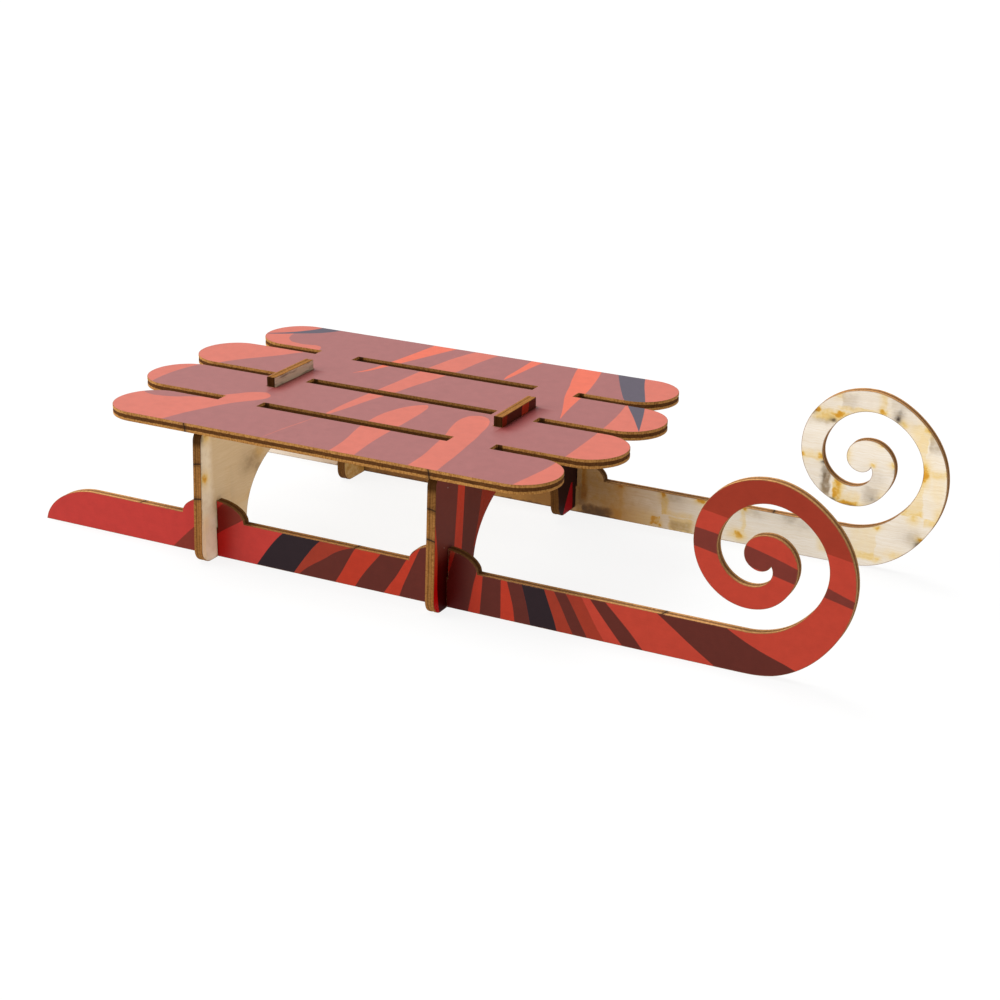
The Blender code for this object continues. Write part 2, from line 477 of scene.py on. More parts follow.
# Deck stripes: ink, then the rear and front limits as (place across, place along) points.
DECK_STRIPES = (
    # the rear ends of the slats, from right to left
    ("coral", ((-12, 10), (16, 10)),
     ((-12, 56.5), (-8, 57.8), (0, 60.4), (6, 63.2), (12, 66), (16, 68.5))),
    ("coral", ((16, 56), (20.5, 60.3), (24, 63.5), (28.3, 68), (29.6, 71.4)),
     ((16, 68.5), (18, 70.2), (22, 73.6), (25, 75), (28, 74), (29.6, 71.6))),
    ("base", ((9.8, 40.6), (10.3, 37.8), (12.5, 35), (14.5, 32.8), (16.6, 30)),
     ((9.8, 40.8), (11, 46), (14.2, 52), (16.6, 58))),
    ("coral", ((18, 10), (47, 10)), ((18, 31.2), (25, 30.6), (30, 30.5), (38, 31.6), (46, 34))),
    ("coral", ((48, 10), (77, 10)),
     ((48, 37), (51, 38.7), (58, 43.5), (62, 47), (66, 50.5), (70, 53.5), (77, 58.5))),
    ("coral", ((77, 10), (85, 10)),
     ((77, 60.3), (80, 60.1), (82.5, 59.2), (83.6, 58), (84.4, 55))),
    ("base", ((83, 50.5), (84.2, 45.5), (86.5, 43.5)), ((83, 52), (84.4, 56.5), (86.5, 60))),
    ("coral", ((84, 10), (108, 10)),
     ((84, 46), (86.5, 43.4), (89, 42), (93, 41.2), (97, 42), (101, 45), (107, 47))),
    ("slate", ((88.4, 32), (89.6, 33.5), (93, 38), (97, 42), (101, 45), (107, 47)),
     ((88.4, 33), (91, 38), (93.5, 42), (96.5, 47), (100, 51), (107, 55.5))),
    # long stripes, from rear to front
    ("bright", ((62.5, 84.6), (66, 86.6), (71, 88.2), (76, 89.2), (82, 90.2), (90, 91.4), (98, 92.5),
                (107, 93.7)),
     ((62.5, 84.8), (66, 87.8), (71, 90), (79, 93.2), (84, 95), (91, 97.5), (98, 100), (107, 103.4))),
    ("coral", ((-12, 94.8), (-5, 95.4), (2, 96.4), (9, 97.9), (16, 99.2), (20.5, 99.8), (30, 100),
               (40, 100.8), (50, 101.8), (62, 103), (75, 104), (85, 105.2), (95, 107), (107, 110.9)),
     ((-12, 94.9), (-5, 95.6), (2, 96.7), (9, 98.2), (16, 99.5), (21, 101.2), (28, 103), (40, 105.5),
      (50, 108.4), (57, 109.7), (69, 112.6), (82, 115.5), (95, 117), (107, 119.7))),
    ("coral", ((-12, 119.6), (-2, 119.2), (4, 118.3), (10, 117), (16, 116), (22, 115.7), (28, 115.8),
               (34, 117.1), (39, 119.2), (42, 121.6), (43.8, 124)),
     ((-12, 128.9), (0, 127.4), (8, 126.9), (15, 126.8), (22, 126.8), (30, 126.7), (38, 126.3),
      (42.5, 125.3), (43.8, 124.2))),
    ("coral", ((-12, 147), (-2, 146.8), (3, 146.4), (9, 145.4), (16, 144.3), (21, 143.4), (26, 142),
               (31, 140.9), (35, 140.4), (38.5, 140.8), (41.2, 142.2), (42.4, 144.8)),
     ((-12, 157.3), (-2, 156.2), (4, 155.7), (10, 155), (16, 154.2), (22, 153.5), (28, 152.4),
      (33, 151.6), (37, 150.4), (40, 148.8), (41.8, 146.8), (42.4, 145))),
    ("bright", ((80.5, 133.2), (84, 132.5), (90, 132.4), (98, 132.2), (107, 131.8)),
     ((80.5, 133.4), (84, 134), (90, 134.7), (98, 135.4), (107, 136.7))),
    ("bright", ((52.5, 167.7), (61, 164.5), (67, 162), (73, 159.5), (79, 157.5), (85, 155.7),
                (90, 153.9), (96, 152), (101, 150.5), (107, 149.1)),
     ((52.5, 167.9), (60, 166.5), (67, 165.5), (73, 164.8), (79, 164), (84, 163.3), (89, 162.3),
      (95, 161), (101, 159.5), (107, 157.8))),
    # front ends of the slats
    ("coral", ((-12, 181.6), (-7, 182), (-2, 182.8), (3, 183.6), (8, 184.3), (15, 184.7), (28, 184.7),
               (40, 184.4), (50, 183.9), (62, 182.8), (70, 181.6), (77, 180.2)),
     ((-12, 230), (77, 230))),
    ("coral", ((77, 181), (82, 176.5), (88, 173.2), (95, 169.5), (101, 166.5), (107, 163.5)),
     ((77, 230), (107, 230))),
    ("slate", ((53, 194.7), (60, 190.6), (65.5, 187.3), (71, 183.8), (77, 180), (82, 176.5),
               (88, 173.2), (95, 169.5), (101, 166.5), (107, 163.5)),
     ((53, 194.9), (62, 191.9), (71, 188.8), (80, 185.3), (89, 181.3), (98, 177.3), (107, 173.9))),
)


def between(*steps):
    """Stripes side by side: their limits in order, with each ink between its two limits."""
    return tuple((steps[i], steps[i - 1], steps[i + 1]) for i in range(1, len(steps), 2))


# Runner bands: ink, then the rear and front limits as (height, place along) points.
RUNNER_BANDS = (
    ("earth", ((-1, 51.6), (0, 52.6), (8.7, 61.6), (16.8, 71), (22, 77)),
     ((-1, 60), (0, 61.2), (8, 70.8), (14, 80.2), (20, 89))),
    *between(
        ((-1, 84.6), (0, 85.5), (3.5, 88), (7.5, 91), (11, 94), (13.5, 96.7)),
        "navy",
        ((-1, 99), (0, 99.7), (4, 102.5), (8, 105.5), (11, 108), (13.5, 110.6)),
        "rust",
        ((-1, 100.6), (0, 101.6), (3, 105), (7, 111), (11, 117), (13, 122), (13.5, 123.4)),
        "brown",
        ((-1, 114.8), (0, 115.3), (4.5, 118), (9, 120.5), (13, 123), (13.5, 123.5)),
        "bright",
        ((-1, 121.9), (0, 122.5), (4, 125), (8, 128), (11, 130.5), (13.5, 132.5)),
        "brown",
        ((-1, 132.4), (0, 133), (3, 135), (6.5, 137.5), (10, 139.6), (13.5, 141.8), (18.5, 146.4),
         (20, 147.5)),
        "bright",
        ((-1, 138.1), (0, 138.5), (4, 140), (8.5, 142), (13, 144), (17.3, 146), (20, 147.6)),
        "brown",
        ((-1, 162.6), (0, 162.8), (5, 163.8), (10, 164.8), (13, 165.6), (20, 167.2)),
        "bright",
        ((-1, 166.7), (0, 166.8), (5, 167.2), (10, 167.6), (13, 167.8), (20, 168)),
        "brown",
        ((-1, 174), (13.5, 174)),
        "bright",
        ((-1, 179), (0, 178.8), (5, 178.1), (9, 177.1), (13.5, 175.8)),
        "brown",
        ((-1, 184.2), (0, 184), (5, 183), (9, 182), (13.5, 180.7)),
        "navy",
        ((-1, 193.2), (0, 193), (4, 191.8), (8, 190.3), (13.5, 188.3)),
        "rust",
        ((-1, 198.8), (0, 198.3), (4.5, 196), (9, 193.8), (13.5, 191.3)),
        "brown",
        ((-1, 203.5), (0, 203), (4.5, 200.5), (9, 198), (13.5, 195.3)),
        "rust",
        ((-1, 209.3), (0, 208.6), (4.5, 205.6), (9, 203), (13.5, 200.4)),
    ),
    ("rust", ((10, 155.4), (12, 155.7), (19.5, 156.8)), ((10, 155.5), (12, 156.2), (19.5, 158.6))),
    ("brown", ((-1, 215.4), (0, 214.4), (5, 210), (11, 205), (13.5, 203)),
     ((-1, 222), (0, 221), (4.5, 217), (8.5, 213), (13.5, 207.8))),
    ("brown", ((-1, 245), (0, 243.5), (5, 236), (9.3, 230), (13.5, 224)),
     ((-1, 290), (1.5, 278), (4, 268.2), (5.5, 264), (7.5, 258), (10, 252), (13.5, 245.5))),
)

# Curl bands: ink, then the lower and upper limits as (place along, height) points.
CURL_BANDS = (
    ("rust", ((230, 48.9), (290, 38.7)), ((230, 70), (290, 70))),
    ("wine", ((230, 37.4), (243, 34.8), (259, 31.8), (266, 30.2), (275, 28.2), (290, 24.6)),
     ((230, 42.6), (243, 40.9), (251, 39.3), (266.5, 34.8), (275, 31.4), (290, 26.5))),
)

# Leg strips: ink, then the right and left limits as (height, place across) points.
LEG_STRIPS = (
    ("red", ((-1, -9), (20, -9), (30, -8.5)), ((-1, -4.6), (5, -6), (20, -6.2), (27, -7), (31, -7.6))),
    *between(
        ((8, 3.2), (18, 4.4), (25, 5.3), (32, 6.2), (39, 7.1), (52, 8.4)),
        "red",
        ((8, 8.2), (18, 9.5), (25, 10.2), (31, 10.8), (37, 11.4), (52, 13)),
        "shade",
        ((14, 17), (20.5, 19.5), (25, 21), (29, 22), (33, 23.4), (52, 28)),
        "rust",
        ((14, 27), (25, 31), (33, 34), (52, 40)),
    ),
    *between(((40, 38.5), (52, 39.5)), "shade", ((40, 48), (52, 50)), "red", ((40, 52.5), (52, 55))),
    ("black", ((-1, 66), (52, 60)), ((-1, 110), (52, 110))),
    ("crimson", ((-1, 80.2), (6, 84.3), (12, 88.2)), ((-1, 89.4), (6, 89.6), (12, 89.2))),
)

# Painted shade beside a fitted piece, multiplied into the print: strength, tint, then soft bands.
# On the deck (place along, place across), in front of each tenon: the tenon's painted shadow.
DECK_PAINTED_SHADOWS = (0.92, (0.68, 0.25, 0.24),
             (70.6, 72.4, 36, 58, 0.2, 5, 7, 1.5), (155.6, 157.8, 36, 58, 0.2, 6, 7, 1.5))
# On the runners (place along, height), in front of each leg: painted shade beside the leg.
RUNNER_PAINTED_SHADE = (0.90, (0.86, 0.12, 0.10),
               (70.4, 72.4, -1, 16, 0.2, 6, 1, 4), (155.4, 157.4, -1, 16, 0.2, 8, 1, 4))
# On the legs (place across, height), beside the right runner, painted shade in the corner: under the
# strips, and over the first.
LEG_PAINTED_SHADE = (1.0, (0.55, 0.14, 0.14),
            (-9, 3, -1, 4, 1, 1, 1, 16), (-9, 3, -1, 14, 1, 1, 1, 8), (-0.5, 3, -1, 12, 3.5, 1, 1, 8))
LEG_STRIP_PAINTED_SHADE = (1.0, (1.0, 0.05, 0.10), (-9, -5, -1, 8, 1, 2.5, 1, 13))


def stripe_mask(nodes, along, across, lower, upper):
    """1 between two limits across the stripe, 0 outside."""
    low = min(lower[0][0], upper[0][0])
    high = max(lower[-1][0], upper[-1][0])
    sides = []
    for limit, sign in ((lower, 1), (upper, -1)):
        edge = nodes.curve(along, limit, (low, high), LIMIT_SPAN)
        gap = nodes.math("SUBTRACT", across, edge)
        sides.append(nodes.ramp(nodes.product(gap, sign), -SOFT_EDGE, SOFT_EDGE))
    begins = nodes.ramp(along, low - SOFT_EDGE, low + SOFT_EDGE)
    ends = nodes.ramp(along, high - SOFT_EDGE, high + SOFT_EDGE, 1.0, 0.0)
    return nodes.product(sides[0], sides[1], begins, ends)


def striped(nodes, colour, inks, stripes, along, across):
    """The colour with every stripe printed over it, in their order."""
    for ink, lower, upper in stripes:
        mask = stripe_mask(nodes, along, across, lower, upper)
        colour = nodes.mix(mask, colour, inks[ink])
    return colour


def print_coordinates(nodes):
    """The print's own coordinates: forwards, to the left and up."""
    x, y, z = nodes.place()
    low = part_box("right_runner")[0]
    forwards = nodes.math("SUBTRACT", x, low[0] / MM)
    across = nodes.math("SUBTRACT", y, low[1] / MM)
    return forwards, across, z


def printed_finish(nodes, colour, grain_vector, specular, roughness):
    """Satin print over veneer: faint mottling, the grain showing through, a worn rim."""
    where = nodes.vector(*nodes.place())
    mottling = nodes.noise(where, 0.35, 4.0, 0.6)
    fine = nodes.noise(where, 5.0, 2.0, 0.6)
    grain = nodes.noise(grain_vector, 1.0, 4.0, 0.65)
    tone = nodes.product(
        nodes.ramp(mottling, 0.25, 0.75, 0.93, 1.06, smooth=False),
        nodes.ramp(fine, 0.2, 0.8, 0.95, 1.05, smooth=False),
        nodes.ramp(grain, 0.25, 0.75, 0.965, 1.03, smooth=False),
    )
    colour = nodes.mix(1.0, colour, nodes.vector(tone, tone, tone), "MULTIPLY")
    near_rim = nodes.ramp(nodes.attribute("rim"), 0.02 * MM, 0.32 * MM, 1.0, 0.0)
    chipped = nodes.ramp(nodes.noise(where, 1.6, 3.0, 0.7), 0.42, 0.62)
    colour = nodes.mix(nodes.product(near_rim, chipped, 0.75), colour, WORN_COLOUR)
    fleck = nodes.ramp(nodes.noise(where, 0.9, 1.0, 0.4), 0.835, 0.86)
    colour = nodes.mix(nodes.product(fleck, 0.35), colour, FLECK_COLOUR)
    height = nodes.math("MULTIPLY_ADD", grain, 0.7, nodes.product(fine, 0.3))
    normal = nodes.bump(height, 0.20, BUMP_DEPTH)
    rough = nodes.math("ADD", roughness - 0.04, nodes.product(mottling, 0.08))
    return nodes.finish(colour, rough, normal, specular)


def soft_band(nodes, u, v, band):
    """1 inside a band given as (u from, u to, v from, v to, fades outwards on those four sides)."""
    u_from, u_to, v_from, v_to, fade_a, fade_b, fade_c, fade_d = band
    return nodes.product(
        nodes.ramp(u, u_from - fade_a, u_from),
        nodes.ramp(u, u_to, u_to + fade_b, 1.0, 0.0),
        nodes.ramp(v, v_from - fade_c, v_from),
        nodes.ramp(v, v_to, v_to + fade_d, 1.0, 0.0),
    )


def with_painted_shade(nodes, colour, u, v, painted_shade_bands):
    """The colour with every band of painted shade multiplied in."""
    strength, tint, *bands = painted_shade_bands
    for band in bands:
        mask = nodes.product(soft_band(nodes, u, v, band), strength)
        colour = nodes.mix(mask, colour, tint, "MULTIPLY")
    return colour


def deck_print():
    nodes = Nodes("deck_print")
    forwards, across, _ = print_coordinates(nodes)
    colour = striped(nodes, DECK_INKS_WITH_PAINTED_LIGHT["base"], DECK_INKS_WITH_PAINTED_LIGHT, DECK_STRIPES, across, forwards)
    # Painted shadow in front of each tenon.
    colour = with_painted_shade(nodes, colour, forwards, across, DECK_PAINTED_SHADOWS)
    grain = nodes.stretched(forwards, across, *PRINT_GRAIN, 0.0)
    return printed_finish(nodes, colour, grain, *DECK_SHEEN)


def runner_print():
    nodes = Nodes("runner_print")
    forwards, _, height = print_coordinates(nodes)
    colour = nodes.mix(nodes.ramp(forwards, *TAIL_FADE), RUNNER_INKS["tail"], RUNNER_INKS["base"])
    colour = striped(nodes, colour, RUNNER_INKS, RUNNER_BANDS, height, forwards)
    colour = striped(nodes, colour, RUNNER_INKS, CURL_BANDS, forwards, height)
    # Painted shade beside each leg.
    colour = with_painted_shade(nodes, colour, forwards, height, RUNNER_PAINTED_SHADE)
    grain = nodes.stretched(forwards, height, *PRINT_GRAIN, 3.0)
    return printed_finish(nodes, colour, grain, *RUNNER_SHEEN)


def leg_print():
    nodes = Nodes("leg_print")
    _, across, height = print_coordinates(nodes)
    # Painted shade in the corner beside the right runner, under the strips.
    colour = with_painted_shade(nodes, LEG_INKS["base"], across, height, LEG_PAINTED_SHADE)
    colour = striped(nodes, colour, LEG_INKS, LEG_STRIPS, height, across)
    # Painted shade over the first red strip.
    colour = with_painted_shade(nodes, colour, across, height, LEG_STRIP_PAINTED_SHADE)
    grain = nodes.stretched(across, height, *PRINT_GRAIN, 6.0)
    return printed_finish(nodes, colour, grain, *LEG_SHEEN)


# ---------------- bare veneer
BED_PITCH = 14.6               # millimetres between the bars of the cutter's bed
PORE_COLOUR = (0.42, 0.28, 0.14)
PAINTED_LIGHT_WOOD = (0.95, 0.82, 0.64)
PAINTED_RED_BOUNCE_WOOD = (1.0, 0.80, 0.62)
UNDER_DECK_SHADE_TINT = (0.36, 0.20, 0.055)
SMOKE_TINT = (0.35, 0.278, 0.195)
AMBER_TINT = (0.96, 0.74, 0.230)
HOT_AMBER_TINT = (0.80, 0.54, 0.150)
CHAR_COLOUR = (0.035, 0.018, 0.011)
RIM_LINE_COLOUR = (0.20, 0.10, 0.04)
PAINTED_LIGHT_TENON_WOOD = (0.88, 0.72, 0.52)
TENON_CHAR = (0.16, 0.095, 0.055)

# Marks of its own on a face, by kind, in the print's coordinates: strength, then a spot's four or a
# band's eight numbers, which soft_spot and soft_band describe.  The left runner's are on its curl
# first, then on its bar.
LEFT_RUNNER_MARKS = {
    "amber": (
        (0.42, 273, 275.8, 24, 50, 6, 0.6, 4, 2), (1, 275.8, 35, 1.6, 3.4), (0.55, 279, 35.4, 5, 1.4),
        (0.9, 276.6, 50.4, 2, 2.4), (0.9, 283.4, 35.7, 1.2, 1.1), (0.55, 281.6, 21, 1.6, 3.4),
        (0.55, 277.5, 281, 18.9, 20, 1, 2.5, 2.6, 0.5), (0.6, 270, 276, 20.7, 21.4, 2.5, 0.8, 0.5, 3.2),
        (0.62, 273.6, 19.6, 1.6, 1.8), (0.9, 276.4, 12.8, 1.3, 1.1), (0.5, 268, 6, 3, 1.2),
        (0.3, 280.6, 30, 2.6, 5), (0.42, 260.8, 261.6, 53, 60, 2.2, 1.2, 1, 1), (0.85, 261, 53, 1.3, 0.9),
        (0.8, 261.2, 59.9, 1.2, 0.9), (0.62, 268.2, 50.2, 1.6, 1.1), (0.85, 246.2, 57.6, 1.3, 1.3),
        (0.6, 240, 249, 48.8, 50.6, 3, 3, 2.6, 1.6), (1, 239.2, 50.9, 1.5, 1), (1, 247, 50.2, 3, 0.9),
        (0.45, 247, 258, 52.2, 53, 2, 3, 0.8, 0.8), (0.95, 235.5, 35, 1.1, 1.2),
        (0.85, 241.9, 35.4, 1.3, 1), (0.45, 236, 242, 34.4, 35.6, 1, 1, 0.8, 2.2),
        (0.85, 246.8, 247.6, 22.5, 27.5, 0.7, 4.5, 2, 3), (0.95, 251.5, 20.9, 5.5, 1),
        (0.4, 248, 255, 22, 23.4, 1, 2, 1, 3), (0.6, 263.2, 24.2, 1.6, 1.5), (0.42, 250.5, 37, 1, 3),
        (0.85, 261.6, 42.8, 1.1, 0.8), (0.7, 259.1, 35.3, 0.9, 0.7), (0.8, 265.9, 35.9, 1.1, 0.8),
        (0.26, 256, 261.8, 5, 15, 6, 0.5, 2, 2), (0.8, 261.8, 14.5, 1.1, 1),
        (0.55, 256, 261.6, 3.6, 4.8, 3, 0.5, 1.4, 1.6), (0.62, 262.6, 3.8, 1.3, 1),
        (0.34, 244, 247, 4, 9, 2.5, 1, 2, 3), (0.42, 216.8, 217.4, 3, 12, 1.4, 0.7, 1, 1),
        (0.9, 215.2, 3, 2.2, 1.5), (0.95, 217.2, 12.6, 1.2, 0.8), (1, 202, 12.6, 1.8, 0.9),
        (0.6, 188, 189, 5.4, 11, 0.4, 1.8, 0.3, 1.5), (1, 188, 12.2, 1.1, 1.5),
        (0.4, 189, 198, 5.2, 5.8, 0.8, 3, 0.3, 2.2), (0.8, 184.4, 186.8, 1.4, 3.8, 2.4, 0.4, 1, 0.5),
        (0.95, 187, 1.2, 0.9, 1), (0.5, 191, 198, -1, 4.6, 1.2, 3, 1, 0.6),
        (0.42, 172.2, 172.8, 5, 12, 1.2, 1.4, 1, 1), (0.95, 172.3, 12.4, 1.2, 1),
        # The low bands along the foot of the bar, from 60 to 183, are partly amber and partly painted
        # shade near the ground.
        (0.62, 170.8, 172.8, 0.6, 3, 3.2, 1.4, 0.8, 3), (0.6, 66, 96, -2, 2.4, 5, 3, 1, 4),
        (0.5, 120, 146, -2, 4, 5, 4, 1, 5), (0.7, 158, 158.8, 5.2, 16, 0.7, 1.4, 1, 1),
        (0.4, 170, 183, -2, 3, 5, 6, 1, 5),
    ),
    "smoke": (
        (0.5, 277.2, 278.4, 44, 47.4, 1, 5, 3, 2.6), (0.4, 274, 13, 3.5, 2.4),
        (0.14, 240, 271, 51, 62, 4, 4, 4, 1), (0.3, 264, 270, 55.5, 58, 1.6, 4, 2.4, 2.4),
        (0.55, 266.2, 53, 1.8, 1.8), (0.38, 248, 250, 54, 57, 1, 7, 3, 2), (0.4, 241.5, 47.4, 3.5, 0.9),
        (0.92, 243.4, 245, 24, 30, 1.8, 1, 3, 4), (0.42, 257.8, 260, 23.5, 26.5, 2.6, 3.4, 2.4, 3),
        (0.24, 260, 31, 3.5, 3), (0.55, 233, 12.2, 2.6, 1.5), (0.32, 220.5, 11.8, 3, 1.4),
        (0.3, 237.5, 10.8, 3, 1.8), (0.45, 192.2, 11.8, 2.8, 1.6),
        (0.45, 191.6, 197, 0.6, 2.8, 1.4, 3, 0.5, 1.6), (0.97, 158.5, 167.5, 0.2, 2.6, 1.2, 3.4, 0.4, 2),
        # The low smoke bands at the foot of the bar are partly smoke and partly painted shade near the
        # ground.
        (0.75, 64, 97, -2, 1, 4, 2, 1, 2), (0.35, 140, 152, -2, 12, 6, 1, 1, 4),
        (0.55, 157, 158.2, 3, 9, 1, 4, 1, 4), (0.2, 157, 166, 1, 12, 2, 8, 1, 4),
    ),
    "char": (
        (0.62, 278, 50.2, 1.3, 0.9), (0.95, 275.9, 11.2, 1.1, 0.7), (1, 266, 51.6, 0.8, 1),
        (0.45, 266.6, 53.4, 0.6, 1.5), (0.9, 238.2, 50.2, 0.8, 0.7), (0.9, 244.8, 48.2, 1, 0.5),
        (0.95, 243, 33.6, 0.6, 0.7), (0.4, 243.2, 29.6, 0.6, 2.4), (0.9, 246.4, 21.4, 1.3, 0.5),
        (0.55, 252.5, 20.3, 3.4, 0.35), (0.45, 259.8, 24, 0.8, 0.7), (0.75, 266.5, 34.4, 0.5, 0.7),
        # The char band along the foot of the bar, from 60 to 168, is partly char and partly painted shade
        # near the ground.
        (0.4, 158.8, 165, 0.2, 1.6, 0.8, 2.4, 0.4, 1.6), (0.6, 60, 168, -2, 0.2, 10, 10, 1, 0.5),
    ),
}
LEG_MARKS = {
    # Painted light on the legs' outer strip, under the deck's edge.
    "pale": (
        (0.75, -7, -3.6, 14, 42, 1, 3.5, 4, 3),
    ),
    # Painted red light thrown back by the runner onto the foot of the leg.
    "painted_red_bounce": (
        (0.7, -9, -1.5, 0, 13, 1, 2, 1, 5),
    ),
    "amber": (
        (0.95, -5.6, 28.4, 1.6, 1.9), (0.8, -4.2, 42.2, 1.8, 1.8), (0.5, 25.4, 28.4, 2.4, 1.8),
        # The band from 79 to 92 at the far toe is partly amber and partly painted shade under the deck.
        (0.3, -6.2, 13.4, 1.8, 2.6), (0.72, 79, 92, -1, 22, 4, 2, 1, 10), (0.55, 77.5, 27.5, 1.6, 2.4),
    ),
    "char": (
        (0.5, -7.6, 27.4, 0.6, 1), (0.95, -7.4, 42.2, 1.8, 1.9), (0.35, -5.4, 42.6, 1.6, 0.9),
    ),
    "smoke": (
        # The band from 79 to 92 at the far toe is partly smoke and partly painted shade under the deck.
        (0.62, 20.5, 26.4, 4.6, 3), (0.7, 24.2, 23.6, 2, 1.8), (0.62, 79, 92, -1, 22, 4, 2, 1, 10),
    ),
}


def bed_marks(nodes, place, other, first_bar, first_other, seed):
    """Amber and smoke beside the bars across `place`, and how near the middle of a bar is."""
    turns = nodes.math("MULTIPLY_ADD", place, 1 / BED_PITCH, -first_bar / BED_PITCH)
    index = nodes.math("ROUND", turns)
    gap = nodes.product(nodes.math("SUBTRACT", turns, index), BED_PITCH)
    row = nodes.math("FLOOR", nodes.math("MULTIPLY_ADD", other, 1 / BED_PITCH, -first_other / BED_PITCH))
    chance, strength, soot = nodes.random(nodes.vector(index, row, seed))
    side = nodes.math("SUBTRACT", nodes.product(nodes.math("ROUND", chance), 2.0), 1.0)
    sided = nodes.product(gap, side)
    amber = nodes.product(
        nodes.ramp(sided, 0.2, 4.6, 1.0, 0.0),
        nodes.ramp(sided, -0.7, -0.1),
        nodes.ramp(strength, 0.15, 0.9, 0.12, 1.0),
    )
    smoke = nodes.product(
        nodes.ramp(sided, -6.5, -0.6),
        nodes.ramp(sided, -0.5, 0.1, 1.0, 0.0),
        nodes.ramp(soot, 0.35, 0.9),
    )
    middle = nodes.ramp(nodes.math("ABSOLUTE", gap), 0.3, 1.7, 1.0, 0.0)
    middle = nodes.product(middle, nodes.ramp(soot, 0.25, 0.45))
    return amber, smoke, middle


def bed_layers(nodes, u, v, bend, first_bars, rim, share):
    """Smoke, amber and char from both sets of bars, strongest near the rim."""
    marks = (
        bed_marks(nodes, nodes.math("ADD", u, bend), v, first_bars[0], first_bars[1], 1.5),
        bed_marks(nodes, nodes.math("ADD", v, bend), u, first_bars[1], first_bars[0], 7.5),
    )
    amber, smoke, middle = [nodes.math("MAXIMUM", one, two) for one, two in zip(*marks)]
    near_rim = nodes.ramp(rim, 0.0, 3.6, 1.0, 0.0)
    middle = nodes.product(middle, share)
    smoke_share = nodes.math("MULTIPLY_ADD", near_rim, 0.40 * share, 0.40 * share)
    amber_share = nodes.math("MULTIPLY_ADD", near_rim, 0.55 * share, 0.50 * share)
    amber = nodes.math("MAXIMUM", amber, nodes.product(middle, near_rim))
    patches = nodes.ramp(nodes.noise(nodes.vector(u, v, 0.0), 0.9, 2.0), 0.36, 0.56)
    return {
        "smoke": nodes.product(smoke, smoke_share),
        "amber": nodes.product(amber, amber_share),
        "char": nodes.product(nodes.ramp(rim, 0.1, 1.3, 1.0, 0.0), middle, patches),
    }


def soft_spot(nodes, u, v, spot):
    """1 in the middle of a spot given as (u, v, radius along u, radius along v), fading beyond it."""
    du = nodes.math("MULTIPLY_ADD", u, 1 / spot[2], -spot[0] / spot[2])
    dv = nodes.math("MULTIPLY_ADD", v, 1 / spot[3], -spot[1] / spot[3])
    square = nodes.math("MULTIPLY_ADD", du, du, nodes.product(dv, dv))
    falloff = nodes.math("MULTIPLY_ADD", nodes.math("POWER", square, 1.4), 0.8, 1.0)
    return nodes.math("DIVIDE", 1.0, falloff)


def add_own_marks(nodes, layers, own_marks, u, v):
    """Lays a face's own marks, with ragged outlines, over the layers of the same kinds."""
    along = nodes.vector(u, v, 0.0)
    across = nodes.vector(v, u, 3.0)
    ragged_u = nodes.math("ADD", u, nodes.wander(along, 0.38, 1.2, 2.5, 0.55))
    ragged_v = nodes.math("ADD", v, nodes.wander(across, 0.38, 1.2, 2.5, 0.55))
    for kind, marks in own_marks.items():
        for strength, *shape in marks:
            draw = soft_spot if len(shape) == 4 else soft_band
            mask = nodes.product(draw(nodes, ragged_u, ragged_v, shape), strength)
            layers[kind] = nodes.math("MAXIMUM", layers.get(kind, 0.0), mask)


def stained(nodes, colour, layers, patchy, stain):
    """The veneer's colour under the layers of marks, with the painted light among them."""
    # Painted light first: paler wood on the legs' outer strip and reddish light from the runner.
    for kind, wood in (("pale", PAINTED_LIGHT_WOOD), ("painted_red_bounce", PAINTED_RED_BOUNCE_WOOD)):
        if kind in layers:
            colour = nodes.mix(nodes.math("MULTIPLY", layers[kind], patchy, clamp=True), colour, wood)
    smoke, amber = [
        nodes.math("MULTIPLY", nodes.product(layers[kind], patchy), stain, clamp=True)
        for kind in ("smoke", "amber")
    ]
    colour = nodes.mix(smoke, colour, SMOKE_TINT, "MULTIPLY")
    colour = nodes.mix(nodes.ramp(amber, 0.0, 0.80, smooth=False), colour, AMBER_TINT, "MULTIPLY")
    colour = nodes.mix(nodes.ramp(amber, 0.55, 1.0), colour, HOT_AMBER_TINT, "MULTIPLY")
    char = nodes.math("MULTIPLY", layers["char"], 0.95, clamp=True)
    return nodes.mix(char, colour, CHAR_COLOUR)


def painted_light_on_tenons(nodes, colour, u, v, height):
    """The colour with painted light above the deck, where the tenons rise out of its shade: paler wood,
    partly burnt.
    """
    deck_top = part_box("deck")[1][2] / MM
    above = (height, deck_top - 1.2, deck_top + 0.8)
    colour = nodes.mix(nodes.ramp(*above, 0.0, 0.75), colour, PAINTED_LIGHT_TENON_WOOD)
    streaks = nodes.noise(nodes.stretched(u, v, 0.16, 1.0, 3.0), 0.8, 3.0)
    burnt = nodes.product(nodes.ramp(*above), nodes.ramp(streaks, 0.46, 0.70, 0.0, 0.75))
    return nodes.mix(burnt, colour, TENON_CHAR)


